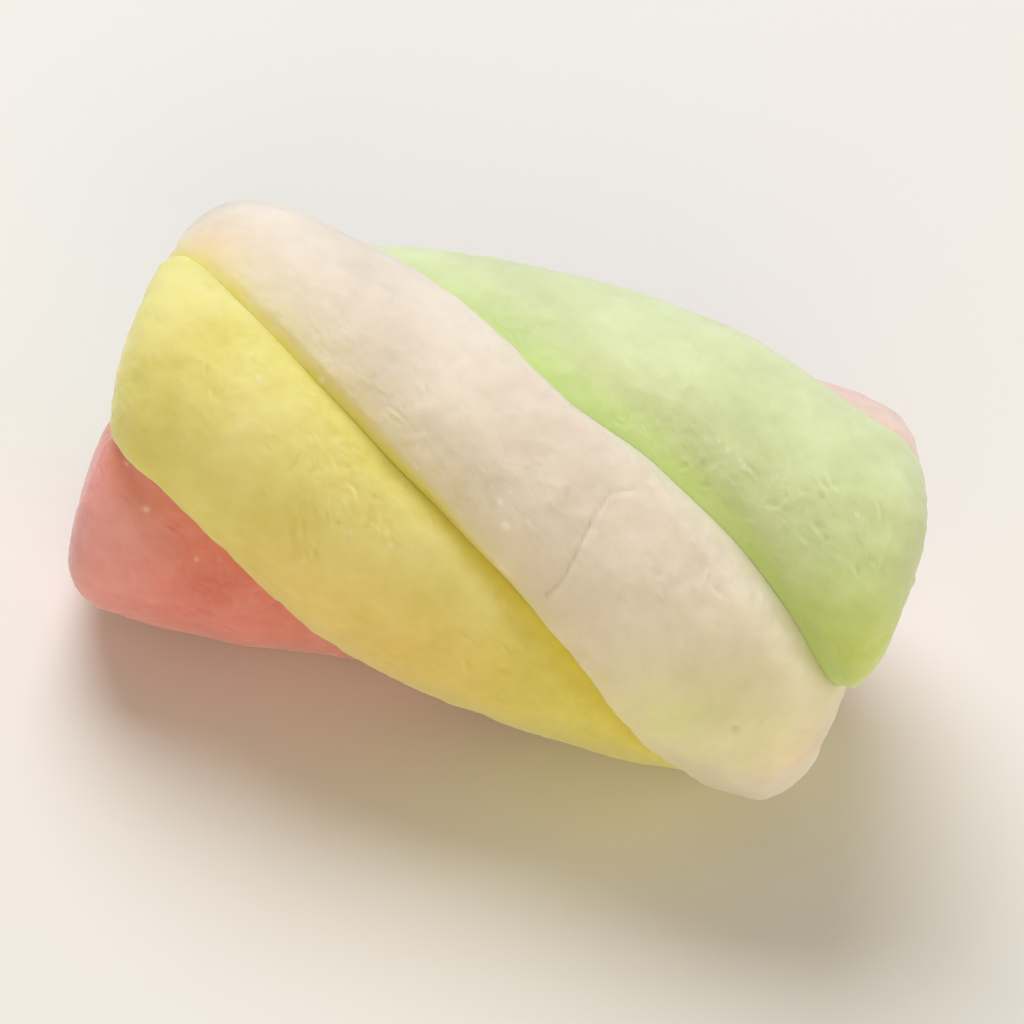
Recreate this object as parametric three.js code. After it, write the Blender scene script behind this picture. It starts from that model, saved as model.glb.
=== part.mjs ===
// A twisted marshmallow. Four soft strands of different colours run side by side from one cut
// end to the other and wind round a common axis like a short rope. Each strand is a wedge
// that reaches in to the axis and shows outside as a rounded lobe, with a crease between it
// and the next. The rope lies on its side along X, on a small flat spot.
// Millimetres and degrees, +Z up, origin in the middle of the footprint.
import * as THREE from 'three';

// Driving dimensions.
const axisHeight = 12.4; // the rope's axis above the surface; what would be lower is pressed flat
const strandGap = 0.3; // clear gap between two neighbouring strands
const edgeRadius = 2.8; // rounding between the side and a cut end
const endDome = 0.4; // how far the middle of a cut end stands proud of its edge
const endLean = 0.6; // how far the right cut end leans out at its edge
const leanAngle = 40; // the side, as an angle about X, to which it leans out
const leftEnd = 22.9; // from mid-length to the left cut end, where two strands meet
const rightEnd = 22.2; // the same to the right
const girthLoss = 0.04; // share of its girth that the rope loses from mid-length to an end
const girthLean = 0.024; // share by which the right end is fuller and the left end slimmer
const stationGap = 8; // between the stations of the borders, the middle one at mid-length
const taperLength = 6.5; // how long before a cut end the lobes start to draw in

// The strands in order round the rope. borders are the angles about X at which the strand
// starts, at seven stations from left to right. Pairs are for the left end and the right. crown
// is the radius of the strand's lobe and taper how much of it is lost towards the cut end.
// groove is the radius at the border, step how far the strand stands over the one before, and
// crease how deep the two roll in between them. rollBefore and rollOwn are how wide they do so,
// the strand before and this one. proud is how far the strand swells out of the cut end.
const strands = [
  {
    name: 'strand_white',
    colour: '#f1e6da',
    borders: [6, 31, 59.5, 86, 104.5, 130, 170],
    crown: [13.7, 13.3],
    taper: [1.3, 2],
    groove: [11.2, 11.7],
    step: [1.2, 1.1],
    crease: [0.25, 0.5],
    rollBefore: [6, 2.4],
    rollOwn: [1.1, 2.4],
    proud: [-0.4, -0.1],
  },
  {
    name: 'strand_yellow',
    colour: '#efe391',
    borders: [73, 101, 125.6, 148, 176.5, 213, 237],
    crown: [13.4, 12],
    taper: [0.3, 0.4],
    groove: [12, 12],
    step: [0.2, -1],
    crease: [0.1, 1.2],
    rollBefore: [0.8, 1.3],
    rollOwn: [0.7, 3.6],
    proud: [0.4, -0.8],
  },
  {
    name: 'strand_pink',
    colour: '#f3b3ab',
    borders: [151, 171.8, 200.5, 228, 254, 279.5, 305],
    crown: [13.8, 12.6],
    taper: [0.3, 1.2],
    groove: [10.5, 11.2],
    step: [-1.2, -1.2],
    crease: [0.6, 0.8],
    rollBefore: [1.3, 1.3],
    rollOwn: [5.5, 5.5],
    proud: [0.6, -0.3],
  },
  {
    name: 'strand_green',
    colour: '#cfe3a8',
    borders: [281, 305.7, 330.4, 355, 381, 415, 438],
    crown: [13.7, 14.3],
    taper: [0.3, 0.2],
    groove: [10.2, 12],
    step: [0.5, 0.2],
    crease: [0.6, 0.5],
    rollBefore: [1.8, 1.8],
    rollOwn: [1.4, 1.4],
    proud: [0.4, 1.4],
  },
];

// Fineness of the facets.
const degreesPerFacet = 5.5; // round a lobe
const rimBunching = 0.6; // how much the facets of a lobe gather towards its two rims
const sideStep = 1.3; // along the rope
const edgeSteps = 4; // round the edge of a cut end
const faceSteps = 4; // from the middle of a cut end to its edge
const flankSteps = 4; // from the axis out to a rim

const fullTurn = 360;
const { clamp, degToRad, lerp } = THREE.MathUtils;
const crowns = strands.flatMap((strand) => strand.crown);
const meanCrown = crowns.reduce((sum, crown) => sum + crown, 0) / crowns.length;

function polar(radius, angle) {
  const turn = degToRad(angle);
  return new THREE.Vector2(radius * Math.cos(turn), radius * Math.sin(turn));
}

// The angle of a strand's border at one place along the rope, on a smooth curve through the
// angles at the stations. One more angle is added before the first and after the last.
function borderAngle({ borders }, along) {
  const before = 2 * borders[0] - borders[1];
  const after = 2 * borders.at(-1) - borders.at(-2);
  const angles = [before, ...borders, after];
  const curve = new THREE.SplineCurve(angles.map((angle, i) => new THREE.Vector2(i, angle)));
  const steps = angles.length - 1;
  return curve.getPoint(0.5 + along / stationGap / steps).y;
}

// Where the middle of a strand lies, as an angle about X, and half the angle that it takes up.
function sector(strand, next, along) {
  const from = borderAngle(strand, along);
  let to = borderAngle(next, along);
  if (next.borders[0] < strand.borders[0]) {
    to += fullTurn;
  }
  return { middle: (from + to) / 2, half: (to - from) / 2 };
}

// Centre of the circle through three points.
function circleCentre(a, b, c) {
  const turn = 2 * (a.x * (b.y - c.y) + b.x * (c.y - a.y) + c.x * (a.y - b.y));
  const [aa, bb, cc] = [a.lengthSq(), b.lengthSq(), c.lengthSq()];
  return new THREE.Vector2(
    (aa * (b.y - c.y) + bb * (c.y - a.y) + cc * (a.y - b.y)) / turn,
    (aa * (c.x - b.x) + bb * (a.x - c.x) + cc * (b.x - a.x)) / turn,
  );
}

// Radius of a strand at one layer of the rope. offCentre runs from -1 at the strand's own border
// to 1 at the next one. The lobe is a circle through its two rims and its crown, and rolls in
// to the crease at either border.
function lobeRadius(strand, next, { rightness, nearEnd }, half, offCentre) {
  const at = (pair) => lerp(pair[0], pair[1], rightness);
  const rims = [
    { side: -1, border: strand, rise: at(strand.step) / 2, roll: at(strand.rollOwn) },
    { side: 1, border: next, rise: -at(next.step) / 2, roll: at(next.rollBefore) },
  ];
  const [first, last] = rims.map(({ side, border, rise }) => (
    polar(at(border.groove) + rise, side * half)
  ));
  const crown = polar(at(strand.crown), 0);
  const centre = circleCentre(first, crown, last);
  const toward = centre.dot(polar(1, offCentre * half));
  const reach = centre.distanceToSquared(crown) - centre.lengthSq();
  const taper = at(strand.taper) * nearEnd ** 2 * (1 - Math.abs(offCentre) ** 3);
  const lobe = toward + Math.sqrt(toward ** 2 + reach) - taper;
  return rims.reduce((radius, { side, border, rise, roll }) => {
    const floor = at(border.groove) - Math.abs(rise) - at(border.crease);
    const away = lobe * degToRad(half) * (1 - side * offCentre);
    const share = clamp(away / roll, 0, 1);
    return radius - (lobe - floor) * (1 - Math.sin((share * Math.PI) / 2));
  }, lobe);
}

// A wedge of unit radius, half its angle on either side of +X: out along one flank, round the
// arc and back along the other flank.
function wedge(half) {
  const section = new THREE.Shape();
  section.moveTo(0, 0);
  for (let i = 1; i <= flankSteps; i += 1) {
    const corner = polar(i / flankSteps, -half);
    section.lineTo(corner.x, corner.y);
  }
  section.absarc(0, 0, 1, degToRad(-half), degToRad(half), false);
  for (let i = flankSteps - 1; i >= 1; i -= 1) {
    const corner = polar(i / flankSteps, half);
    section.lineTo(corner.x, corner.y);
  }
  return section;
}

// One cut end, from its middle out to where the side starts. inward is the distance back from
// the end's middle, and scale the share of the full section.
function endLayers() {
  const faceScale = 1 - edgeRadius / meanCrown;
  const layers = [];
  for (let i = 1; i < faceSteps; i += 1) {
    const share = i / faceSteps;
    layers.push({ inward: endDome * share ** 2, scale: faceScale * share });
  }
  for (let i = 0; i <= edgeSteps; i += 1) {
    const turn = ((i / edgeSteps) * Math.PI) / 2;
    layers.push({
      inward: endDome + edgeRadius * (1 - Math.cos(turn)),
      scale: faceScale + (edgeRadius / meanCrown) * Math.sin(turn),
    });
  }
  return layers;
}

// The layers of every strand from left to right. along is a layer's place on the rope, rightness
// how much it belongs to the right end rather than the left, and nearEnd rises to 1 at an end.
function ropeLayers() {
  const end = endLayers();
  const start = end.at(-1).inward - endDome - leftEnd;
  const stop = rightEnd + endDome - end.at(-1).inward;
  const steps = Math.round((stop - start) / sideStep);
  const layers = end.map(({ inward, scale }) => ({
    along: inward - endDome - leftEnd,
    rightness: 0,
    scale,
  }));
  for (let i = 1; i < steps; i += 1) {
    const share = i / steps;
    layers.push({ along: lerp(start, stop, share), rightness: share, scale: 1 });
  }
  for (const { inward, scale } of end.reverse()) {
    layers.push({ along: rightEnd + endDome - inward, rightness: 1, scale });
  }
  return layers.map((layer) => {
    const toEnd = Math.min(layer.along + leftEnd, rightEnd - layer.along);
    return { ...layer, nearEnd: clamp(1 - toEnd / taperLength, 0, 1) };
  });
}

function girth(along) {
  const share = along / leftEnd;
  return 1 - girthLoss * share ** 2 + girthLean * share;
}

// A straight extrusion of a wedge, one unit for each layer. Its points are then given their
// radius, set along the rope and turned, and moved out from the axis to leave half the gap on
// either flank.
function strandGeometry(strand, next) {
  const layers = ropeLayers();
  const { half: wedgeHalf } = sector(strand, next, 0);
  const geometry = new THREE.ExtrudeGeometry(wedge(wedgeHalf), {
    depth: layers.length - 1,
    steps: layers.length - 1,
    curveSegments: Math.round(wedgeHalf / degreesPerFacet),
    bevelEnabled: false,
  });
  const place = geometry.attributes.position;
  for (let i = 0; i < place.count; i += 1) {
    const layer = layers[Math.round(place.getZ(i))];
    const flat = new THREE.Vector2(place.getX(i), place.getY(i));
    const evenly = Math.atan2(flat.y, flat.x) / degToRad(wedgeHalf);
    const offCentre = lerp(evenly, Math.sin((evenly * Math.PI) / 2), rimBunching);
    const radius = lobeRadius(strand, next, layer, wedgeHalf, offCentre)
      * flat.length() * layer.scale;
    const proud = lerp(-strand.proud[0], strand.proud[1], layer.rightness);
    const swell = (1 - Math.abs(offCentre) ** 3) * Math.min(1, (2 * radius) / meanCrown);
    const station = layer.along + proud * swell;
    const { middle, half } = sector(strand, next, station);
    const point = polar(radius * girth(station), middle + offCentre * half);
    point.add(polar(strandGap / 2 / Math.sin(degToRad(half)), middle));
    const nearRight = clamp(station / rightEnd, 0, 1) ** 4;
    const lean = (endLean * nearRight * point.dot(polar(1, leanAngle))) / meanCrown;
    place.setXYZ(i, station + lean, point.x, Math.max(point.y, -axisHeight));
  }
  geometry.computeVertexNormals();
  return geometry;
}

function makeMarshmallow() {
  const rope = new THREE.Group();
  strands.forEach((strand, i) => {
    const next = strands[(i + 1) % strands.length];
    const material = new THREE.MeshStandardMaterial({
      color: strand.colour,
      roughness: 0.9,
      metalness: 0,
    });
    const mesh = new THREE.Mesh(strandGeometry(strand, next), material);
    mesh.name = strand.name;
    rope.add(mesh);
  });
  const middle = new THREE.Box3().setFromObject(rope).getCenter(new THREE.Vector3());
  rope.position.set(-middle.x, -middle.y, axisHeight);
  const marshmallow = new THREE.Group();
  marshmallow.add(rope);
  return marshmallow;
}

export default makeMarshmallow();
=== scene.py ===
import math

import bpy
import numpy as np
from mathutils import Matrix, Vector, noise


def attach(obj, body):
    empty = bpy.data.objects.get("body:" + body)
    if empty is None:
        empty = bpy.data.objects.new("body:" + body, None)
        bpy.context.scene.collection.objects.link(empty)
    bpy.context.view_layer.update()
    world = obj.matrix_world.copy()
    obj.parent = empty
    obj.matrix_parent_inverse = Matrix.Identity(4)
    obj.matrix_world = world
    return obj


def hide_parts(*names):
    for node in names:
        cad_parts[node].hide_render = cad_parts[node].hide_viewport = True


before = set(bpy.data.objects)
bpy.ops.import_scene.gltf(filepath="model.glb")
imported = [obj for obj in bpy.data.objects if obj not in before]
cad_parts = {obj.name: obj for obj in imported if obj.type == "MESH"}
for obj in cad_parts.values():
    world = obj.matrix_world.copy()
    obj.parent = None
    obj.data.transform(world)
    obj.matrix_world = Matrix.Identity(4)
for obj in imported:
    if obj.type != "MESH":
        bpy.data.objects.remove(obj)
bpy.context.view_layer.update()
mm = 0.001

# A twisted marshmallow: four soft strands wound round one axis, lying along X on a small flat spot.
# Lengths are in millimetres and angles in degrees until a mesh is written, which is in metres.

rope = {
    "axisHeight": 12.4,  # axis above the floor
    "axisShift": (-0.092, -0.122),  # axis beside the middle of the footprint, along X and Y
    "leftEnd": 22.9,  # from mid-length to the cut ends, where two strands meet
    "rightEnd": 22.2,
    "edgeRadius": 2.8,  # rounding between side and cut end
    "endDome": 0.4,  # middle of a cut end, proud of its edge
    "endLean": 0.6,  # how far the right cut end leans out at its edge, on the side of leanAngle
    "leanAngle": 40.0,
    "leanOnset": 4,  # the higher, the nearer to the right cut end the lean begins
    "girthLoss": 0.04,  # how much thinner the rope is at its ends, as a share
    "girthLean": 0.024,  # and how much thicker towards the right
    "flatSoftness": 0.5,  # how gently the side rolls into the flat spot underneath
    "seam": 0.02,  # clear gap between two strands
    "stationGap": 8.0,  # between the stations of the borders, of which the fourth is at mid-length
    "borderWander": 0.5,  # degrees
    "wanderLength": 4.5,
    "faceGroove": 0.35,  # depth of a border on a cut end
    "faceGrooveWidth": 1.4,
    "faceBlend": 0.25,  # how soon past the edge the skin gives way to the cut foam
    "dimple": 0.7,  # the sunk middle of a cut end
    "dimpleWidth": 2.4,
    "taperLength": 6.5,  # how long before a cut end a crown starts to draw in
    "crownBreadth": 3,  # how far taper and proud spread from the crown towards the rims
    "swellFrom": 0.5,  # share of the radius from which a strand stands fully proud of a cut end
    "rimBunching": 0.6,  # how far the points round a lobe crowd towards its rims
    "wallSteps": (0.9, 0.7, 0.45, 0.2),  # points down the hidden walls, as shares of their height
    "sideStep": 0.145,  # fineness of the mesh
    "edgeStep": 0.17,
    "faceStep": 0.22,
}

# A strand starts at its border, an angle about X from +Y towards +Z that is given at seven stations
# along the rope. Pairs are for the left and the right end. groove, crease, step and the two rolls
# belong to that border, and crown, proud, taper and bands, a painted glow of the next strand's
# colour, to the strand.
# wrinkles are clusters of small folds: station, angle, direction, how many and how far apart.
# split is a fine crack through points at station and angle.
# crumbs and dents are station, angle and size, and stains have a strength and a colour as well.
# Some crumbs are painted glints, small painted highlights, and many stains are painted reflected
# colour and painted shade.

whiteStrand = {
    "name": "white_strand",
    "node": "strand_white",
    "slot": "white_marshmallow",
    "border": (6, 31, 59.5, 86, 104.5, 130, 170),
    "crown": (13.7, 13.3),  # radius of the lobe
    "groove": (11.2, 11.7),  # radius at the border
    "crease": (0.25, 0.5),  # how deep the two lobes roll in below the groove
    "step": (1.2, 1.1),  # how far this strand stands over the one before
    "rollBefore": (6.0, 2.4),  # width of the rounding into the crease, on the strand before
    "rollOwn": (1.1, 2.4),  # and on this one
    "proud": (-0.4, -0.1),  # how far the strand swells out of the cut ends
    "taper": (1.3, 2.0),  # how far the crown draws in towards the cut ends
    "paintedGlowBands": [((0, 0.7), 0.8), ((0.27, 0.25), 3.0)],  # strengths and width of a painted glow in the next one's colour
    "around": 132,  # points round the lobe
    "seed": 3,
    "wrinkles": [(-6.9, 121, 20, 4, 1.0), (12, 150, 60, 4, 1.6)],
    "split": [(6.9, 117), (5.7, 120), (5.15, 128), (4.9, 136), (4.6, 144), (3.9, 150)],
    "crumbsAndGlints": [(0.5, 135.7, 0.2), (-0.15, 130.4, 0.11), (0.2, 127.4, 0.1), (-12, 112, 0.12)],
    "dents": [(16.5, 170, 0.3)],
    # painted reflected colour of neighbouring marshmallows: greenish on the lower right, peach at
    # both ends
    "stainsAndPaintedLight": [
        (17, 170, 6, 0.55, "paintedLimeReflection"), (12, 175, 3.5, 0.5, "paintedLimeReflection"),
        (21.5, 182, 3.0, 0.5, "paintedPeachReflection"), (-21.5, 80, 3.2, 0.8, "paintedPeachReflection"),
    ],
}

yellowStrand = {
    "name": "yellow_strand",
    "node": "strand_yellow",
    "slot": "yellow_marshmallow",
    "border": (73, 101, 125.6, 148, 176.5, 213, 237),
    "crown": (13.4, 12),
    "groove": (12.0, 12.0),
    "crease": (0.1, 1.2),
    "step": (0.2, -1.0),
    "rollBefore": (0.8, 1.3),
    "rollOwn": (0.7, 3.6),
    "proud": (0.4, -0.8),
    "taper": (0.3, 0.4),
    "paintedGlowBands": [],
    "around": 146,
    "seed": 11,
    "wrinkles": [
        (-17, 120, 40, 5, 1.0), (-8.2, 141, 80, 16, 2.2), (-10.2, 157, 60, 10, 1.8),
        (1.1, 176, 30, 4, 1.0),
    ],
    "split": [],
    "crumbsAndGlints": [(-15.5, 118, 0.12), (-5.5, 150, 0.1)],
    "dents": [(-8.6, 148, 0.22), (-7.1, 139, 0.18)],
    "stainsAndPaintedLight": [
        # the darker olive patches right of the middle are painted shade; the gold ones left of it
        # are painted warm reflection and painted shade
        (8, 180, 9, 0.65, "paintedOliveShade"), (8.5, 189, 5, 0.5, "paintedOliveShade"),
        (-10, 178, 6, 0.8, "paintedGoldShadeAndReflection"), (-1.5, 186, 5, 0.85, "paintedGoldShadeAndReflection"),
    ],
}

pinkStrand = {
    "name": "pink_strand",
    "node": "strand_pink",
    "slot": "pink_marshmallow",
    "border": (151, 171.8, 200.5, 228, 254, 279.5, 305),
    "crown": (13.8, 12.6),
    "groove": (10.5, 11.2),
    "crease": (0.6, 0.8),
    "step": (-1.2, -1.2),
    "rollBefore": (1.3, 1.3),
    "rollOwn": (5.5, 5.5),
    "proud": (0.6, -0.3),
    "taper": (0.3, 1.2),
    "paintedGlowBands": [],
    "around": 196,
    "seed": 23,
    "wrinkles": [(-20.5, 165, 80, 8, 1.4), (-14, 200, 50, 6, 1.6)],
    "split": [],
    "crumbsAndGlints": [(-19.6, 172.5, 0.14), (-16, 186, 0.1), (-21.5, 160, 0.1)],
    "dents": [],
    "stainsAndPaintedLight": [
        # the deep rose patches on the lower side are painted shade
        (20, 425, 8, 1.0, "blush"), (-14, 208, 8.5, 1.0, "paintedRoseShade"), (-11, 192, 5.5, 0.85, "paintedRoseShade"),
    ],
}

greenStrand = {
    "name": "green_strand",
    "node": "strand_green",
    "slot": "green_marshmallow",
    "border": (281, 305.7, 330.4, 355, 381, 415, 438),
    "crown": (13.7, 14.3),
    "groove": (10.2, 12.0),
    "crease": (0.6, 0.5),
    "step": (0.5, 0.2),
    "rollBefore": (1.8, 1.8),
    "rollOwn": (1.4, 1.4),
    "proud": (0.4, 1.4),
    "taper": (0.3, 0.2),
    "paintedGlowBands": [],
    "around": 172,
    "seed": 37,
    "wrinkles": [
        (14.6, 467, -10, 8, 0.9), (17.2, 464, 20, 5, 0.9), (10.4, 465, 30, 4, 0.9),
        (17.4, 476, 10, 6, 0.8), (20.5, 478, 60, 8, 1.2),
    ],
    "split": [],
    # on the green strand these pale spots are painted glints, small painted highlights, as well as
    # crumbs
    "crumbsAndGlints": [
        (12.5, 462, 0.1), (19.5, 468, 0.1), (11.4, 459, 0.11), (12.2, 461, 0.1), (10.7, 457, 0.09),
    ],
    "dents": [(15.4, 467.5, 0.16), (17.3, 466, 0.17), (18.2, 475, 0.17), (20.9, 478, 0.15)],
    "stainsAndPaintedLight": [(21.2, 500, 4.5, 0.95, "leaf"), (18.5, 465, 7, 0.55, "moss")],
}

strands = [whiteStrand, yellowStrand, pinkStrand, greenStrand]
meanCrown = sum(sum(strand["crown"]) / 2 for strand in strands) / len(strands)
noiseReach = 0.5  # how far the noise mostly swings to either side of nothing
noiseShift = {  # keeps the noise of one effect apart from that of another
    "wander": 0.5,
    "pucker": 0.3,
    "bumps": 7.3,
    "crumple": 31,
    "patches": 47,
    "foam": 61,
}


def girth(along):
    share = along / rope["leftEnd"]
    return 1 - rope["girthLoss"] * share**2 + rope["girthLean"] * share


def borderAngle(strand, along):
    # a Catmull-Rom curve through the angles at the stations, with a little wander
    count = len(strand["border"])
    angles = np.array(strand["border"], float)
    angles = np.concatenate([[2 * angles[0] - angles[1]], angles, [2 * angles[-1] - angles[-2]]])
    shortOfLast = count - 1.001
    place = np.clip(along / rope["stationGap"] + count // 2, 0, shortOfLast)
    station = place.astype(int)
    share = place - station
    p0, p1, p2, p3 = (angles[station + i] for i in range(4))
    bend = 2 * p0 - 5 * p1 + 4 * p2 - p3 + share * (3 * (p1 - p2) + p3 - p0)
    smooth = p1 + share * (p2 - p0 + share * bend) / 2
    length, shift = rope["wanderLength"], noiseShift["wander"]
    waves = [noise.noise((x / length, strand["seed"], shift)) for x in along.ravel()]
    return smooth + rope["borderWander"] / noiseReach * np.array(waves).reshape(along.shape)


def ropeLayers():
    # along, rightness and scale of every ring from the left end's middle to the right end's
    faceScale = 1 - rope["edgeRadius"] / meanCrown
    faceCount = round(faceScale * meanCrown / rope["faceStep"])
    share = np.arange(1, faceCount + 1) / (faceCount + 1)
    edgeCount = round(math.pi / 2 * rope["edgeRadius"] / rope["edgeStep"])
    turn = np.arange(edgeCount + 1) / edgeCount * math.pi / 2
    inward = np.concatenate([
        rope["endDome"] * share**2,
        rope["endDome"] + rope["edgeRadius"] * (1 - np.cos(turn)),
    ])
    scale = np.concatenate([
        faceScale * share,
        faceScale + rope["edgeRadius"] / meanCrown * np.sin(turn),
    ])
    start = inward[-1] - rope["endDome"] - rope["leftEnd"]
    stop = rope["rightEnd"] + rope["endDome"] - inward[-1]
    sideCount = round((stop - start) / rope["sideStep"])
    side = np.arange(1, sideCount) / sideCount
    along = np.concatenate([
        inward - rope["endDome"] - rope["leftEnd"],
        start + (stop - start) * side,
        (rope["rightEnd"] + rope["endDome"] - inward)[::-1],
    ])
    rightness = np.concatenate([0 * inward, side, 0 * inward + 1])
    fullScale = np.concatenate([scale, 0 * side + 1, scale[::-1]])
    return along[:, None], rightness[:, None], fullScale[:, None]


def between(pair, rightness):
    return pair[0] + (pair[1] - pair[0]) * rightness


def lobeRadius(startRim, crown, endRim, half, offCentre):
    # radius of a circle through both rims and the crown, seen from the rope's axis
    ax, ay = startRim * math.cos(half), -startRim * math.sin(half)
    bx, by = crown, 0
    cx, cy = endRim * math.cos(half), endRim * math.sin(half)
    turn = 2 * (ax * (by - cy) + bx * (cy - ay) + cx * (ay - by))
    aa, bb, cc = ax**2 + ay**2, bx**2 + by**2, cx**2 + cy**2
    middleX = (aa * (by - cy) + bb * (cy - ay) + cc * (ay - by)) / turn
    middleY = (aa * (cx - bx) + bb * (ax - cx) + cc * (bx - ax)) / turn
    reach = (bx - middleX)**2 + (by - middleY)**2
    toward = middleX * np.cos(offCentre * half) + middleY * np.sin(offCentre * half)
    return toward + np.sqrt(toward**2 - middleX**2 - middleY**2 + reach)


def crownShare(offCentre):
    # 1 on the crown of a lobe, 0 at its rims
    return 1 - np.abs(offCentre)**rope["crownBreadth"]


def rollIn(distance, width):
    # 0 in the crease, 1 where the lobe is free of it
    return np.sin(np.clip(distance / width, 0, 1) * math.pi / 2)


colourRunAndPaintedShade = {
    "reach": (1.0, 2.8),  # least and most that a neighbour's colour reaches over a border, part run-over dye and part painted reflection
    "level": 0.4,  # its strength at the height of the neighbour's rim
    "deeper": 0.7,  # how much stronger it is for each millimetre below that: painted crease shade
}


def tintAndPaintedShadeFrom(distance, reach, sunk):
    # 0 to 1: how much of a neighbour's colour and of the darker crease colour is painted here, the
    #         more the deeper the skin lies there: painted crease shade and reflection, and some
    #         run-over dye
    fading = np.exp(-distance / np.clip(reach, *colourRunAndPaintedShade["reach"]))
    return fading * np.clip(colourRunAndPaintedShade["level"] + colourRunAndPaintedShade["deeper"] * sunk, 0, 1)


def strandShape(strand, following):
    # the strand's points, one row for each ring, and what the relief and the finish need of them
    along, rightness, scale = ropeLayers()
    evenly = np.linspace(-1, 1, strand["around"])
    crowded = np.sin(evenly * math.pi / 2)
    bunching = rope["rimBunching"]
    offCentre = ((1 - bunching) * evenly + bunching * crowded)[None, :]
    middleStation = len(strand["border"]) // 2
    lap = 360 if following["border"][0] < strand["border"][0] else 0
    wide = following["border"][middleStation] + lap - strand["border"][middleStation]
    half = math.radians(wide) / 2

    # the lobe, drawn in towards the cut ends and rolled into the creases on both sides
    startStep = between(strand["step"], rightness) / 2
    endStep = between(following["step"], rightness) / 2
    startGroove = between(strand["groove"], rightness)
    endGroove = between(following["groove"], rightness)
    startCrease = startGroove - np.abs(startStep) - between(strand["crease"], rightness)
    endCrease = endGroove - np.abs(endStep) - between(following["crease"], rightness)
    crown = between(strand["crown"], rightness)
    lobe = lobeRadius(startGroove + startStep, crown, endGroove - endStep, half, offCentre)
    toEnd = np.where(along < 0, along + rope["leftEnd"], rope["rightEnd"] - along)
    nearEnd = np.clip(1 - toEnd / rope["taperLength"], 0, 1)
    taper = np.where(along < 0, strand["taper"][0], strand["taper"][1])
    lobe = lobe - taper * nearEnd**2 * crownShare(offCentre)
    fromStart = lobe * half * (1 + offCentre)
    fromEnd = lobe * half * (1 - offCentre)
    startRoll = between(strand["rollOwn"], rightness)
    endRoll = between(following["rollBefore"], rightness)
    radius = lobe - (lobe - startCrease) * (1 - rollIn(fromStart, startRoll))
    radius = radius - (lobe - endCrease) * (1 - rollIn(fromEnd, endRoll))
    startSunk = startGroove - startStep - radius  # how far below the neighbour's rim
    endSunk = endGroove + endStep - radius

    # the walls between the strands, from the creases down to the axis
    flank = np.array([rope["wallSteps"]])
    apex = 0 * along
    wall = np.zeros((len(along), flank.shape[1]))
    radius = np.hstack([apex, startCrease * flank[:, ::-1], radius, endCrease * flank]) * scale
    offCentre = np.hstack([[[0]], wall[:1] - 1, offCentre, wall[:1] + 1])
    fromStart = np.hstack([apex, wall, fromStart, wall]) * scale
    fromEnd = np.hstack([apex, wall, fromEnd, wall]) * scale
    startSunk = np.hstack([apex + 1, wall + 1, startSunk, wall + 1])
    endSunk = np.hstack([apex + 1, wall + 1, endSunk, wall + 1])

    # the cut ends, proud over the crown and sunk at the borders and in the middle
    swell = crownShare(offCentre) * np.minimum(1, radius / (rope["swellFrom"] * meanCrown))
    proud = between((-strand["proud"][0], strand["proud"][1]), rightness)
    station = along + proud * swell
    onFace = np.clip((1 - scale) / (1 - scale.min()) / rope["faceBlend"], 0, 1) + 0 * offCentre
    fromBorder = np.minimum(fromStart, fromEnd)
    sink = rope["faceGroove"] * onFace * (1 - rollIn(fromBorder, rope["faceGrooveWidth"]))
    sink = sink + rope["dimple"] * onFace * np.exp(-(radius / rope["dimpleWidth"])**2)
    station = station + sink * np.where(rightness < 0.5, 1, -1)

    # wound round the axis between the two borders, half the seam clear of each
    first = np.radians(borderAngle(strand, station))
    last = np.radians(borderAngle(following, station) + lap)
    middle, halfHere = (first + last) / 2, (last - first) / 2
    angle = middle + offCentre * halfHere
    radius = radius * girth(station)
    apart = rope["seam"] / 2 / np.sin(halfHere)
    y = radius * np.cos(angle) + apart * np.cos(middle)
    z = radius * np.sin(angle) + apart * np.sin(middle)

    # leaning at the right end, and flat underneath
    lean = math.radians(rope["leanAngle"])
    out = (y * math.cos(lean) + z * math.sin(lean)) / meanCrown
    out = out * np.clip(station / rope["rightEnd"], 0, 1)**rope["leanOnset"]
    station = station + rope["endLean"] * out
    over = z + rope["axisHeight"]
    z = (over + np.sqrt(over**2 + rope["flatSoftness"]**2)) / 2 - rope["axisHeight"]

    paintedGlowBands = sum(
        between(strengths, rightness) * np.exp(-(fromEnd / width)**2)
        for strengths, width in strand["paintedGlowBands"]
    )
    return {
        "points": np.stack([station, y, z], axis=2),
        "angle": angle,
        "fromStart": fromStart,
        "fromEnd": fromEnd,
        "startTint": tintAndPaintedShadeFrom(fromStart, startRoll, startSunk),
        "endTint": tintAndPaintedShadeFrom(fromEnd, endRoll, endSunk) + paintedGlowBands,
        "onFace": onFace,
        "toEnd": toEnd + 0 * offCentre,
    }


# The small shapes of the skin, which the mesh itself carries

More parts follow.
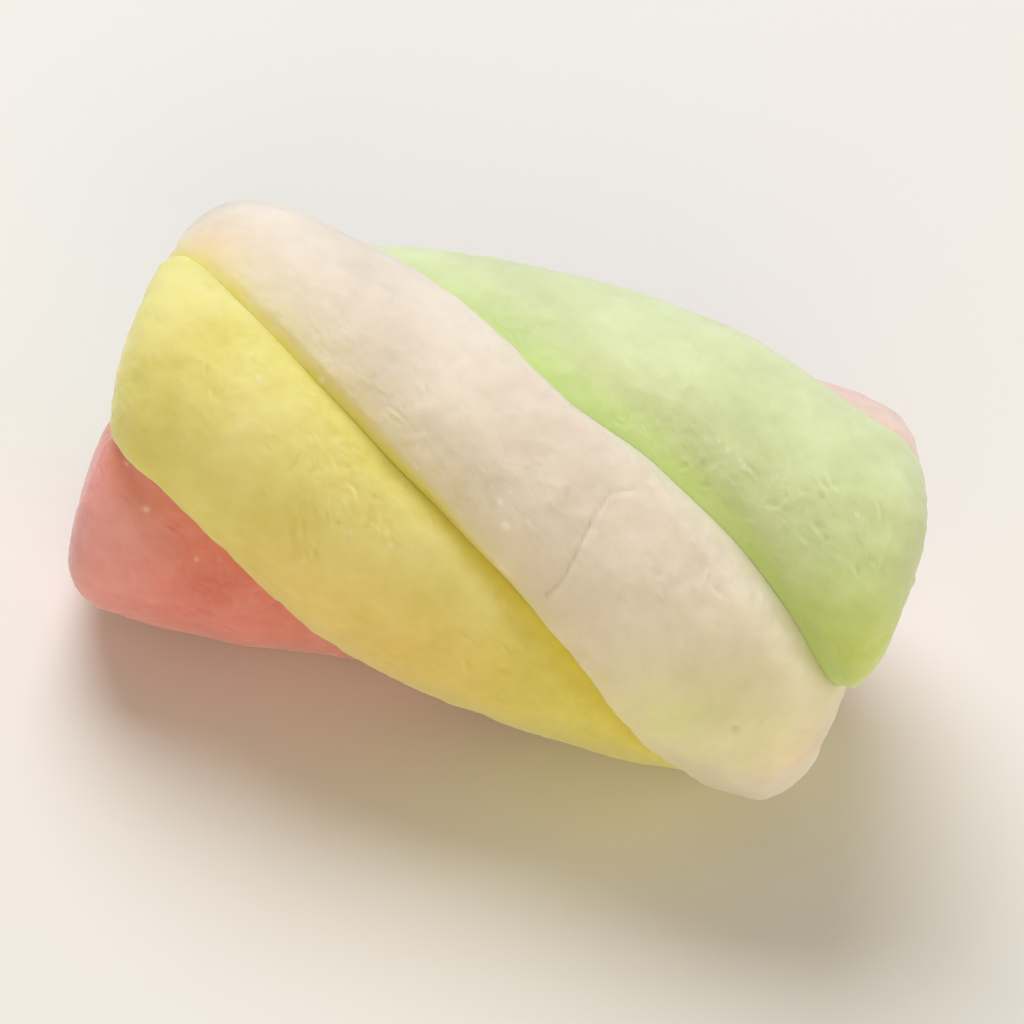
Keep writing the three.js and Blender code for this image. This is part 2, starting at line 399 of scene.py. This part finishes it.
relief = {
    "bumps": [(7.0, 0.2), (2.6, 0.09), (1.2, 0.056), (0.55, 0.033)],  # size and height of each
    "foldLength": (0.25, 0.7),
    "foldWidth": (0.11, 0.2),
    "foldHeight": (0.035, 0.08),
    "foldBend": 0.5,  # how much a fold may curve
    "foldTurn": 40.0,  # how much the folds of a cluster differ in direction
    "ridgeScale": 2.3,  # brings the crest of a fold to its full height
    "strayClusters": 7,  # clusters of folds besides those listed for a strand
    "strayFolds": 4,  # folds in each of them, and how far apart
    "straySpread": (0.8, 1.8),
    "strayCrumbs": 8,
    "strayCrumbSize": (0.06, 0.11),
    "strayDents": 16,
    "strayDentSize": (0.1, 0.2),
    "crumbRise": (0.7, -0.1),  # height of a crumb and of the skin round it, as shares of its size
    "dentRise": (-0.75, 0.22),  # the same for a dent
    "rimSpread": 2.0,  # how much wider than the mark that skin is
    "crumbAndGlintSpread": 1.15,  # how much wider than a crumb its pale colour is, crumb and painted glint
    "crumbEdge": 9.0,  # sharpness of the colour's edge
    "crumple": 0.03,  # fine creases that run through some patches of the skin
    "crumpleSize": 1.7,
    "crumpleWidth": 0.07,
    "patchSize": 6.0,
    "patchContrast": 3.0,
    "patchLevel": 0.45,  # the higher, the more of the skin is creased
    "splitWidth": 0.1,
    "splitDepth": 0.13,
    "splitLip": 0.2,  # height of its raised lip, as a share of the depth
    "splitLipWidth": 0.5,
    "pucker": 0.12,  # folds that run over the edge of a cut end and into its middle
    "puckerAngle": 11.0,
    "puckerReach": 2.4,
    "puckerPeak": 0.6,  # where on the edge they are deepest, as a share of its radius
    "puckerFade": 0.7,  # how much they fade on the face
    "puckerRing": 3.0,  # radius of the ring that they form in the middle, and half its width
    "puckerRingWidth": 2.5,
    "foam": 0.07,  # open foam on a cut end
    "foamSize": 0.7,
    "poreSpacing": 1.1,
    "poreWidth": 0.16,
    "poreDepth": 0.18,
    "calmBorder": 0.9,  # nearer to a border the relief fades, so that the strands meet cleanly
    "dustAndTopLightOnUpright": 0.4,  # how much pale dust an upright side gets, as a share of that on top: starch and painted light from above
}
skinRadius = meanCrown  # turns an angle into a distance round the rope


def fractalOf(points, size, seed, octaves):
    # each octave is half as large and half as high as the one before
    places = (points / size + seed).tolist()
    return np.array([noise.fractal(place, 1.0, 2.0, octaves) for place in places])


def ridge(across):
    # section of a fold: a crest and a trough side by side
    return relief["ridgeScale"] * across * np.exp(-across**2)


def foldCluster(random, station, arc, cluster):
    atStation, atAngle, direction, count, spread = cluster
    height = np.zeros_like(station)
    for _ in range(count):
        x = station - atStation - random.normal(0, spread)
        y = arc - math.radians(atAngle) * skinRadius - random.normal(0, spread)
        turn = math.radians(direction + random.normal(0, relief["foldTurn"]))
        length = random.uniform(*relief["foldLength"])
        width = random.uniform(*relief["foldWidth"])
        tall = random.uniform(*relief["foldHeight"])
        bend = random.uniform(-relief["foldBend"], relief["foldBend"])
        run = x * math.cos(turn) + y * math.sin(turn)
        across = (y * math.cos(turn) - x * math.sin(turn) + bend * run**2) / width
        height += tall * np.exp(-(run / length)**2) * ridge(across)
    return height


def splitLine(station, arc, corners):
    # a fine crack with one lip raised
    nearest = np.full_like(station, np.inf)
    side = np.zeros_like(station)
    for (x0, a0), (x1, a1) in zip(corners, corners[1:]):
        start = np.array([x0, math.radians(a0) * skinRadius])
        run = np.array([x1, math.radians(a1) * skinRadius]) - start
        x, y = station - start[0], arc - start[1]
        share = np.clip((x * run[0] + y * run[1]) / run.dot(run), 0, 1)
        away = np.hypot(x - share * run[0], y - share * run[1])
        closer = away < nearest
        side = np.where(closer, np.sign(x * run[1] - y * run[0]), side)
        nearest = np.where(closer, away, nearest)
    groove = -np.exp(-(nearest / relief["splitWidth"])**2)
    lip = relief["splitLip"] * side * np.exp(-(nearest / relief["splitLipWidth"])**2)
    return relief["splitDepth"] * (groove + lip)


def spots(station, arc, places, inner, outer):
    # round marks: heights of the middle and of the skin round it, as shares of their size
    height = np.zeros_like(station)
    for x, angle, size in places:
        away = np.hypot(station - x, arc - math.radians(angle) * skinRadius) / size
        height += inner * size * np.exp(-away**2)
        height += outer * size * np.exp(-(away / relief["rimSpread"])**2)
    return height


def strayPlaces(random, count, low, high, sizes):
    # station, angle and size of marks strewn over the whole strand
    left, right = -rope["leftEnd"], rope["rightEnd"]
    return [
        (random.uniform(left, right), random.uniform(low, high), random.uniform(*sizes))
        for _ in range(count)
    ]


def crumpleLines(points, seed):
    folds = fractalOf(points, relief["crumpleSize"], seed + noiseShift["crumple"], octaves=2)
    patches = fractalOf(points, relief["patchSize"], seed + noiseShift["patches"], octaves=1)
    patches = np.clip(patches * relief["patchContrast"] + relief["patchLevel"], 0, 1)
    return -relief["crumple"] * ridge(folds / relief["crumpleWidth"]) * patches


def cutEndRelief(strand, shape, points):
    # puckers over the edge and round the middle of a cut end, and the foam and pores of its face
    onFace = shape["onFace"].ravel()
    around = (np.degrees(shape["angle"].ravel()) / relief["puckerAngle"]).tolist()
    shift = noiseShift["pucker"]
    pucker = np.array([noise.noise((place, strand["seed"], shift)) for place in around])
    fromPeak = shape["toEnd"].ravel() - rope["edgeRadius"] * relief["puckerPeak"]
    deep = np.exp(-(fromPeak / relief["puckerReach"])**2) * (1 - onFace * relief["puckerFade"])
    fromRing = np.abs(np.hypot(points[:, 1], points[:, 2]) - relief["puckerRing"])
    deep += onFace * np.clip(1 - fromRing / relief["puckerRingWidth"], 0, 1)
    height = -relief["pucker"] / noiseReach * np.clip(pucker, 0, 1) * deep

    foam = fractalOf(points, relief["foamSize"], strand["seed"] + noiseShift["foam"], octaves=3)
    places = (points / relief["poreSpacing"] + strand["seed"]).tolist()
    nearest = np.array([noise.voronoi(place)[0][0] for place in places]) * relief["poreSpacing"]
    pores = np.exp(-(nearest / relief["poreWidth"])**2)
    return height + (relief["foam"] * foam - relief["poreDepth"] * pores) * onFace


def skinRelief(strand, shape):
    # height of the skin at every point, and how much of a pale crumb or painted glint covers it
    points = shape["points"].reshape(-1, 3)
    station = points[:, 0]
    angle = shape["angle"].ravel()
    arc = angle * skinRadius
    random = np.random.default_rng(strand["seed"])
    height = np.zeros(len(points))
    for count, (size, tall) in enumerate(relief["bumps"]):
        seed = strand["seed"] + noiseShift["bumps"] * count
        height += tall * fractalOf(points, size, seed, octaves=2)

    marks = np.zeros(len(points))
    low, high = np.degrees(angle.min()), np.degrees(angle.max())
    strays = strayPlaces(random, relief["strayClusters"], low, high, relief["straySpread"])
    clusters = strand["wrinkles"] + [
        (x, around, random.uniform(0, 180), relief["strayFolds"], spread)
        for x, around, spread in strays
    ]
    for cluster in clusters:
        marks += foldCluster(random, station, arc, cluster)
    crumbsAndGlints = strand["crumbsAndGlints"] + strayPlaces(
        random, relief["strayCrumbs"], low, high, relief["strayCrumbSize"]
    )
    dents = strand["dents"] + strayPlaces(
        random, relief["strayDents"], low, high, relief["strayDentSize"]
    )
    marks += spots(station, arc, crumbsAndGlints, *relief["crumbRise"])
    marks += spots(station, arc, dents, *relief["dentRise"])
    marks += crumpleLines(points, strand["seed"])
    if strand["split"]:
        marks += splitLine(station, arc, strand["split"])
    height += marks * (1 - shape["onFace"].ravel())
    height += cutEndRelief(strand, shape, points)

    fromBorder = np.minimum(shape["fromStart"], shape["fromEnd"]).ravel()
    height *= np.clip(fromBorder / relief["calmBorder"], 0, 1)
    pale = [(x, around, size * relief["crumbAndGlintSpread"]) for x, around, size in crumbsAndGlints]
    crumbAndGlintMask = spots(station, arc, pale, 1, 0) * relief["crumbEdge"]
    return height, np.clip(crumbAndGlintMask, 0, 1)


# Colours of the patches. The lime, peach and gold ones are painted reflected colour from
# neighbouring marshmallows, the gold one darker as painted shade too; the olive and rose ones are
# painted shade. The others are plain colour patches.
stainAndPaintedLightColours = {
    "paintedLimeReflection": (0.82, 0.83, 0.38),
    "paintedPeachReflection": (0.92, 0.66, 0.46),
    "paintedOliveShade": (0.78, 0.70, 0.12),
    "paintedGoldShadeAndReflection": (0.86, 0.64, 0.16),
    "blush": (0.92, 0.76, 0.66),
    "paintedRoseShade": (0.83, 0.26, 0.21),
    "leaf": (0.64, 0.76, 0.19),
    "moss": (0.58, 0.68, 0.33),
}


def stainAndPaintedLightAt(strand, shape):
    # colour of the stains, painted reflected colour and painted shade among them, and their
    # strength as its fourth part
    almostNone = 1e-6
    station = shape["points"][:, :, 0].ravel()
    arc = shape["angle"].ravel() * skinRadius
    stainAndPaintedLight = np.zeros((len(arc) + 2, 4))
    for x, angle, size, strength, colour in strand["stainsAndPaintedLight"]:
        away = np.hypot(station - x, arc - math.radians(angle) * skinRadius)
        share = np.append(strength * np.exp(-(away / size)**2), [0, 0])
        together = stainAndPaintedLight[:, 3] + share
        part = (share / np.maximum(together, almostNone))[:, None]
        stainAndPaintedLight[:, :3] = stainAndPaintedLight[:, :3] * (1 - part) + np.array(stainAndPaintedLightColours[colour]) * part
        stainAndPaintedLight[:, 3] = np.minimum(together, 1)
    return stainAndPaintedLight


def makeStrand(strand, following):
    # following is the next strand round the rope, whose border ends this one
    shape = strandShape(strand, following)
    rings, count = shape["angle"].shape
    flat = shape["points"].reshape(-1, 3)
    # the last two points are the middles of the cut ends
    places = np.vstack([flat, flat[:count].mean(axis=0), flat[-count:].mean(axis=0)])

    faces = []
    for ring in range(rings - 1):
        first = ring * count
        for i in range(count):
            after = (i + 1) % count
            faces.append((first + i, first + after, first + count + after, first + count + i))
    lastRing = (rings - 1) * count
    for i in range(count):
        after = (i + 1) % count
        faces.append((rings * count, after, i))
        faces.append((rings * count + 1, lastRing + i, lastRing + after))

    mesh = bpy.data.meshes.new(strand["name"])
    mesh.from_pydata(places.tolist(), [], faces)
    mesh.update()
    normals = np.zeros(len(places) * 3, np.float32)
    mesh.vertex_normals.foreach_get("vector", normals)
    normals = normals.reshape(-1, 3)
    height, crumbAndGlintMask = skinRelief(strand, shape)
    height = np.append(height, [0, 0])
    places = places + normals * height[:, None]
    places[:, 2] = np.maximum(places[:, 2], -rope["axisHeight"])
    places += np.array([*rope["axisShift"], rope["axisHeight"]])
    mesh.vertices.foreach_set("co", (places * mm).ravel())

    upright = relief["dustAndTopLightOnUpright"]
    masks = {
        "startTint": np.append(shape["startTint"].ravel(), [1, 1]),
        "endTint": np.append(shape["endTint"].ravel(), [1, 1]),
        "cutFace": np.append(shape["onFace"].ravel(), [1, 1]),
        "crumbsAndGlints": np.append(crumbAndGlintMask, [0, 0]),
        # more pale dust on upward-facing skin: starch, and painted light from above
        "topSide": np.clip(normals[:, 2] * (1 - upright) + upright, 0, 1),
        "skinHeight": height,
    }
    for name, values in masks.items():
        mesh.attributes.new(name, "FLOAT", "POINT").data.foreach_set("value", values)
    stainAndPaintedLight = mesh.attributes.new("stainAndPaintedLight", "FLOAT_COLOR", "POINT")
    stainAndPaintedLight.data.foreach_set("color", stainAndPaintedLightAt(strand, shape).ravel())
    mesh.shade_smooth()
    mesh.update()
    piece = bpy.data.objects.new(strand["name"], mesh)
    bpy.context.scene.collection.objects.link(piece)
    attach(piece, "root")
    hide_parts(strand["node"])
    print("made", strand["name"], "of", len(mesh.polygons), "faces")
    return piece


def rgba(colour):
    return (*colour, 1.0)


def newGroup(name, inputs, outputs):
    group = bpy.data.node_groups.new(name, "ShaderNodeTree")
    for label, kind, value in inputs:
        socket = group.interface.new_socket(label, in_out="INPUT", socket_type=kind)
        socket.default_value = value
    for label, kind in outputs:
        group.interface.new_socket(label, in_out="OUTPUT", socket_type=kind)
    given = group.nodes.new("NodeGroupInput").outputs
    out = group.nodes.new("NodeGroupOutput").inputs
    return group, given, out


def addNode(tree, kind, links=None, **settings):
    # links holds a socket or a plain value for each input
    node = tree.nodes.new(kind)
    for key, value in settings.items():
        setattr(node, key, value)
    for key, value in (links or {}).items():
        if isinstance(value, bpy.types.NodeSocket):
            tree.links.new(value, node.inputs[key])
        else:
            node.inputs[key].default_value = value
    return node


def mathNode(tree, operation, a, b=0.0, clamp=False):
    links = {0: a, 1: b}
    return addNode(tree, "ShaderNodeMath", links, operation=operation, use_clamp=clamp).outputs[0]


def mixColour(tree, share, a, b, blend="MIX"):
    # a colour mix has its factor at input 0, its colours at 6 and 7 and its result at output 2
    links = {0: share, 6: a, 7: b}
    return addNode(tree, "ShaderNodeMix", links, data_type="RGBA", blend_type=blend).outputs[2]


def noiseAt(tree, size, detail, roughness=0.5):
    place = addNode(tree, "ShaderNodeTexCoord").outputs["Object"]
    scale = mathNode(tree, "DIVIDE", 1.0, size)
    links = {"Vector": place, "Scale": scale, "Detail": detail, "Roughness": roughness}
    return addNode(tree, "ShaderNodeTexNoise", links).outputs["Fac"]


def attributeOf(tree, name):
    return addNode(tree, "ShaderNodeAttribute", attribute_name=name).outputs["Fac"]


raggedEdge = {
    "size": 1.3 * mm,
    "detail": 2.0,
    "least": 0.6,  # of a tint's strength
    "spread": 0.8,
}


def makeBorderTintAndPaintedShade():
    # colour patches and painted reflection and shade, the darker colour down in the borders as
    # painted crease shade, and the neighbours' colours over them, part run-over dye and part
    # painted reflection
    group, given, out = newGroup(
        "borderTintAndPaintedShade",
        [
            ("Color", "NodeSocketColor", (0.8, 0.8, 0.8, 1)),
            ("Deep Color", "NodeSocketColor", (0.8, 0.6, 0.4, 1)),
            ("Before Color", "NodeSocketColor", (0.8, 0.8, 0.8, 1)),
            ("After Color", "NodeSocketColor", (0.8, 0.8, 0.8, 1)),
            ("Deep Amount", "NodeSocketFloat", 0.4),
            ("Before Amount", "NodeSocketFloat", 0.3),
            ("After Amount", "NodeSocketFloat", 0.3),
        ],
        [("Color", "NodeSocketColor"), ("Border", "NodeSocketFloat")],
    )
    ragged = noiseAt(group, raggedEdge["size"], raggedEdge["detail"])
    ragged = mathNode(group, "MULTIPLY", ragged, raggedEdge["spread"])
    ragged = mathNode(group, "ADD", ragged, raggedEdge["least"])
    stainAndPaintedLight = addNode(group, "ShaderNodeAttribute", attribute_name="stainAndPaintedLight").outputs
    share = mathNode(group, "MULTIPLY", stainAndPaintedLight["Alpha"], ragged, clamp=True)
    colour = mixColour(group, share, given["Color"], stainAndPaintedLight["Color"])
    start = mathNode(group, "MULTIPLY", attributeOf(group, "startTint"), ragged, clamp=True)
    end = mathNode(group, "MULTIPLY", attributeOf(group, "endTint"), ragged, clamp=True)
    # the crease mask: painted crease shade where the skin lies below a neighbour's rim
    deep = mathNode(group, "MAXIMUM", start, end)
    for tint, side in ((deep, "Deep"), (start, "Before"), (end, "After")):
        share = mathNode(group, "MULTIPLY", tint, given[side + " Amount"])
        colour = mixColour(group, share, colour, given[side + " Color"])
    group.links.new(colour, out["Color"])
    group.links.new(deep, out["Border"])
    return group


starch = {
    "patchDetail": 4.0,
    "patchRoughness": 0.65,
    "patchMiddle": 0.5,  # of the noise, where a patch is neither lighter nor darker
    "patchShare": 0.5,  # how much of the dust lies in wide patches, and how much as fine specks
    "speckShare": 0.5,
    "speckDetail": 1.0,
    "onHeight": 3.0,  # more of it for each millimetre that the skin stands up
    "rubbedOff": 0.05,
    "lessOnCut": 0.6,  # share that a cut end lacks
    "toneOnHeight": 0.35,  # lighter skin for each millimetre that it stands up
    # pale colour of the crumbs, which also stand for painted glints
    "crumbAndGlintCover": 0.55,
    "crumbAndGlintColour": (0.95, 0.92, 0.84),
    "bareRoughness": 0.7,
    "addedRoughness": 0.2,  # where dust lies
}


def makeStarchDustAndPaintedLight():
    # pale powder that catches on what stands up and rubs off unevenly, lying more on the upper
    # side: partly starch and partly painted light from above; and the pale crumbs and painted
    # glints
    group, given, out = newGroup(
        "starchDustAndPaintedLight",
        [
            ("Color", "NodeSocketColor", (0.8, 0.8, 0.8, 1)),
            ("Dust And Top Light Color", "NodeSocketColor", (0.95, 0.93, 0.88, 1)),
            ("Amount", "NodeSocketFloat", 0.3),
            ("Patch Size", "NodeSocketFloat", 3 * mm),
            ("Speck Size", "NodeSocketFloat", 0.25 * mm),
            ("Border", "NodeSocketFloat", 0.0),
            ("Mottle", "NodeSocketFloat", 0.06),
        ],
        [("Color", "NodeSocketColor"), ("Roughness", "NodeSocketFloat")],
    )
    patch = noiseAt(group, given["Patch Size"], starch["patchDetail"], starch["patchRoughness"])
    speck = noiseAt(group, given["Speck Size"], starch["speckDetail"])
    height = attributeOf(group, "skinHeight")
    patches = mathNode(group, "MULTIPLY", patch, starch["patchShare"])
    specks = mathNode(group, "MULTIPLY", speck, starch["speckShare"])
    raised = mathNode(group, "MULTIPLY", height, starch["onHeight"])
    dustAndTopLightShare = mathNode(group, "ADD", mathNode(group, "ADD", patches, specks), raised)
    dustAndTopLightShare = mathNode(group, "SUBTRACT", dustAndTopLightShare, starch["rubbedOff"], clamp=True)
    clear = mathNode(group, "SUBTRACT", 1.0, given["Border"], clamp=True)
    dustAndTopLightShare = mathNode(group, "MULTIPLY", dustAndTopLightShare, clear)
    # the upper side paler: partly starch, partly painted light from above
    dustAndTopLightShare = mathNode(group, "MULTIPLY", dustAndTopLightShare, attributeOf(group, "topSide"))
    cut = mathNode(group, "MULTIPLY", attributeOf(group, "cutFace"), starch["lessOnCut"])
    dustAndTopLightShare = mathNode(group, "MULTIPLY", dustAndTopLightShare, mathNode(group, "SUBTRACT", 1.0, cut))

    tone = mathNode(group, "SUBTRACT", patch, starch["patchMiddle"])
    tone = mathNode(group, "MULTIPLY", tone, given["Mottle"])
    raised = mathNode(group, "MULTIPLY", height, starch["toneOnHeight"])
    tone = mathNode(group, "ADD", mathNode(group, "ADD", tone, 1.0), raised)
    links = {"Red": tone, "Green": tone, "Blue": tone}
    grey = addNode(group, "ShaderNodeCombineColor", links).outputs[0]
    colour = mixColour(group, 1.0, given["Color"], grey, "MULTIPLY")
    dustAndTopLight = mathNode(group, "MULTIPLY", dustAndTopLightShare, given["Amount"])
    colour = mixColour(group, dustAndTopLight, colour, given["Dust And Top Light Color"])
    # pale crumbs and painted glints
    crumbAndGlint = mathNode(group, "MULTIPLY", attributeOf(group, "crumbsAndGlints"), starch["crumbAndGlintCover"])
    colour = mixColour(group, crumbAndGlint, colour, rgba(starch["crumbAndGlintColour"]))
    rough = mathNode(group, "MULTIPLY", dustAndTopLightShare, starch["addedRoughness"])
    rough = mathNode(group, "ADD", rough, starch["bareRoughness"])
    group.links.new(colour, out["Color"])
    group.links.new(rough, out["Roughness"])
    return group


powderGrain = {"detail": 2.0, "roughness": 0.6}


def makeSkinGrain():
    # powder grain and the open foam of a cut end, as a height in millimetres
    group, given, out = newGroup(
        "skinGrain",
        [
            ("Grain Size", "NodeSocketFloat", 0.3 * mm),
            ("Grain", "NodeSocketFloat", 0.02),
            ("Foam Size", "NodeSocketFloat", 0.28 * mm),
            ("Foam", "NodeSocketFloat", 0.04),
        ],
        [("Height", "NodeSocketFloat")],
    )
    grain = noiseAt(group, given["Grain Size"], powderGrain["detail"], powderGrain["roughness"])
    grain = mathNode(group, "MULTIPLY", grain, given["Grain"])
    place = addNode(group, "ShaderNodeTexCoord").outputs["Object"]
    links = {"Vector": place, "Scale": mathNode(group, "DIVIDE", 1.0, given["Foam Size"])}
    cells = addNode(group, "ShaderNodeTexVoronoi", links, feature="F1").outputs["Distance"]
    foam = mathNode(group, "MULTIPLY", cells, attributeOf(group, "cutFace"))
    foam = mathNode(group, "MULTIPLY", foam, given["Foam"])
    group.links.new(mathNode(group, "ADD", grain, foam), out["Height"])
    return group


borderTintAndPaintedShade = makeBorderTintAndPaintedShade()
starchDustAndPaintedLight = makeStarchDustAndPaintedLight()
skinGrain = makeSkinGrain()
print("made the tint, dust and grain")

# Finishes of the four strands. deep is the darker colour down in the creases: painted crease shade
# and glow, together with the stronger colour of the skin there. before and after are those of the
# neighbours, partly run over a border and partly painted reflection, as far as their amounts say.
# scatter is how far red, green and blue light travel in the foam, as shares of scatterDepth.

whiteFinish = {
    "name": "whiteMarshmallow",
    "colour": (0.85, 0.75, 0.632),
    "deep": (0.80, 0.68, 0.45),
    "before": (0.66, 0.80, 0.36),
    "after": (0.85, 0.76, 0.10),
    "deepAmount": 0.35,
    "beforeAmount": 0.25,
    "afterAmount": 0.9,
    # paleness mostly on top: partly starch, partly painted light from above
    "dustAndTopLight": 0.25,
    "dustAndTopLightColour": (0.90, 0.87, 0.80),
    "scatter": (1.0, 0.85, 0.65),
}

yellowFinish = {
    "name": "yellowMarshmallow",
    "colour": (0.86, 0.785, 0.225),
    "deep": (0.74, 0.65, 0.05),
    "before": (0.83, 0.76, 0.62),
    "after": (0.84, 0.40, 0.33),
    "deepAmount": 0.85,
    "beforeAmount": 0.08,
    "afterAmount": 0.3,
    "dustAndTopLight": 0.45,
    "dustAndTopLightColour": (0.90, 0.84, 0.56),
    "scatter": (1.0, 0.8, 0.35),
}

pinkFinish = {
    "name": "pinkMarshmallow",
    "colour": (0.84, 0.38, 0.355),
    "deep": (0.77, 0.21, 0.18),
    "before": (0.82, 0.64, 0.22),
    "after": (0.66, 0.76, 0.34),
    "deepAmount": 0.55,
    "beforeAmount": 0.08,
    "afterAmount": 0.15,
    "dustAndTopLight": 0.45,
    "dustAndTopLightColour": (0.90, 0.67, 0.66),
    "scatter": (1.0, 0.55, 0.45),
}

greenFinish = {
    "name": "greenMarshmallow",
    "colour": (0.71, 0.79, 0.44),
    "deep": (0.55, 0.76, 0.20),
    "before": (0.86, 0.46, 0.38),
    "after": (0.83, 0.78, 0.62),
    "deepAmount": 0.85,
    "beforeAmount": 0.2,
    "afterAmount": 0.08,
    "dustAndTopLight": 0.4,
    "dustAndTopLightColour": (0.80, 0.88, 0.60),
    "scatter": (0.9, 1.0, 0.5),
}

foamLook = {
    "shine": 0.3,
    "scatterWeight": 0.45,  # how much of the light passes through the foam
    "scatterDepth": 1.3 * mm,
    "sheen": 0.4,
    "sheenRoughness": 0.45,
}


def makeFinish(look):
    material = bpy.data.materials.new(look["name"])
    material.use_nodes = True
    tree = material.node_tree
    shader = tree.nodes["Principled BSDF"]
    tint = addNode(tree, "ShaderNodeGroup", node_tree=borderTintAndPaintedShade)
    tint.inputs["Color"].default_value = rgba(look["colour"])
    for side in ("Deep", "Before", "After"):
        tint.inputs[side + " Color"].default_value = rgba(look[side.lower()])
        tint.inputs[side + " Amount"].default_value = look[side.lower() + "Amount"]
    dustAndTopLight = addNode(tree, "ShaderNodeGroup", node_tree=starchDustAndPaintedLight)
    dustAndTopLight.inputs["Dust And Top Light Color"].default_value = rgba(look["dustAndTopLightColour"])
    dustAndTopLight.inputs["Amount"].default_value = look["dustAndTopLight"]
    tree.links.new(tint.outputs["Color"], dustAndTopLight.inputs["Color"])
    tree.links.new(tint.outputs["Border"], dustAndTopLight.inputs["Border"])
    tree.links.new(dustAndTopLight.outputs["Color"], shader.inputs["Base Color"])
    tree.links.new(dustAndTopLight.outputs["Roughness"], shader.inputs["Roughness"])
    grain = addNode(tree, "ShaderNodeGroup", node_tree=skinGrain)
    links = {"Height": grain.outputs["Height"], "Distance": mm, "Strength": 1.0}
    bump = addNode(tree, "ShaderNodeBump", links)
    tree.links.new(bump.outputs["Normal"], shader.inputs["Normal"])
    shader.inputs["Specular IOR Level"].default_value = foamLook["shine"]
    shader.inputs["Subsurface Weight"].default_value = foamLook["scatterWeight"]
    shader.inputs["Subsurface Radius"].default_value = look["scatter"]
    shader.inputs["Subsurface Scale"].default_value = foamLook["scatterDepth"]
    shader.inputs["Sheen Weight"].default_value = foamLook["sheen"]
    shader.inputs["Sheen Roughness"].default_value = foamLook["sheenRoughness"]
    return material


finishes = [whiteFinish, yellowFinish, pinkFinish, greenFinish]
for index, (strand, look) in enumerate(zip(strands, finishes)):
    piece = makeStrand(strand, strands[(index + 1) % len(strands)])
    piece.data.materials.append(makeFinish(look))
print("finished the strands")


# The studio. The floor's size and the lamps' sizes and places are in metres.

studio = {
    "floorSize": 1.3,
    "floorColour": (0.86, 0.845, 0.82),
    "floorRoughness": 0.8,
    "skyColour": (1, 0.99, 0.97),
    "skyLight": 0.2,  # how much light the sky gives
    "skySeen": 0.8,  # how bright it looks behind the floor
    "elevation": 50.0,  # camera above the horizon, looking along +Y
    "roll": 17.2,
    "lens": 300.0,
    "sensor": 36.0,
    "clipStart": 0.01,  # metres
    "frameWidth": 60.0,  # millimetres seen across the picture
    "aim": (0.55, -0.65, 12.4),  # seen in the middle of the picture
}

lamps = [
    {
        "name": "topSoftbox",
        "place": (-0.18, 0.22, 0.42),
        "size": 0.36,
        "power": 2.08,
        "colour": (0.98, 0.985, 1),
    },
    {
        "name": "sideFill",
        "place": (0.45, 0.05, 0.16),
        "size": 0.3,
        "power": 0.5,
        "colour": (1, 0.93, 0.84),
    },
    {
        "name": "frontFill",
        "place": (0.1, -0.42, 0.25),
        "size": 0.4,
        "power": 0.9,
        "colour": (1, 0.83, 0.55),
    },
]


def makeStudio():
    half = studio["floorSize"] / 2
    floorMesh = bpy.data.meshes.new("floor")
    corners = [(-half, -half, 0), (half, -half, 0), (half, half, 0), (-half, half, 0)]
    floorMesh.from_pydata(corners, [], [(0, 1, 2, 3)])
    floor = bpy.data.objects.new("floor", floorMesh)
    bpy.context.scene.collection.objects.link(floor)
    paint = bpy.data.materials.new("palePaper")
    paint.use_nodes = True
    shader = paint.node_tree.nodes["Principled BSDF"]
    shader.inputs["Base Color"].default_value = rgba(studio["floorColour"])
    shader.inputs["Roughness"].default_value = studio["floorRoughness"]
    floorMesh.materials.append(paint)

    aim = Vector((0, 0, rope["axisHeight"] * mm))
    for lamp in lamps:
        light = bpy.data.lights.new(lamp["name"], "AREA")
        light.shape = "DISK"
        light.size = lamp["size"]
        light.energy = lamp["power"]
        light.color = lamp["colour"]
        holder = bpy.data.objects.new(lamp["name"], light)
        holder.location = lamp["place"]
        facing = (aim - Vector(lamp["place"])).to_track_quat("-Z", "Y")
        holder.rotation_euler = facing.to_euler()
        bpy.context.scene.collection.objects.link(holder)

    world = bpy.data.worlds.new("softRoom")
    world.use_nodes = True
    sky = world.node_tree.nodes["Background"]
    sky.inputs["Color"].default_value = rgba(studio["skyColour"])
    seen = addNode(world.node_tree, "ShaderNodeLightPath").outputs["Is Camera Ray"]
    brighter = studio["skySeen"] - studio["skyLight"]
    strength = mathNode(world.node_tree, "MULTIPLY", seen, brighter)
    strength = mathNode(world.node_tree, "ADD", strength, studio["skyLight"])
    world.node_tree.links.new(strength, sky.inputs["Strength"])
    bpy.context.scene.world = world
    bpy.context.scene.view_settings.view_transform = "Standard"


def makeCamera():
    data = bpy.data.cameras.new("camera")
    data.lens = studio["lens"]
    data.sensor_width = studio["sensor"]
    data.clip_start = studio["clipStart"]
    distance = studio["frameWidth"] * mm * data.lens / data.sensor_width
    rise = math.radians(studio["elevation"])
    back = Vector((0, -math.cos(rise), math.sin(rise)))
    facing = (-back).to_track_quat("-Z", "Y").to_matrix()
    roll = Matrix.Rotation(math.radians(studio["roll"]), 3, "Z")
    camera = bpy.data.objects.new("camera", data)
    camera.matrix_world = (facing @ roll).to_4x4()
    camera.location = Vector(studio["aim"]) * mm + back * distance
    bpy.context.scene.collection.objects.link(camera)
    bpy.context.scene.camera = camera


makeStudio()
makeCamera()
print("set the studio and the camera")
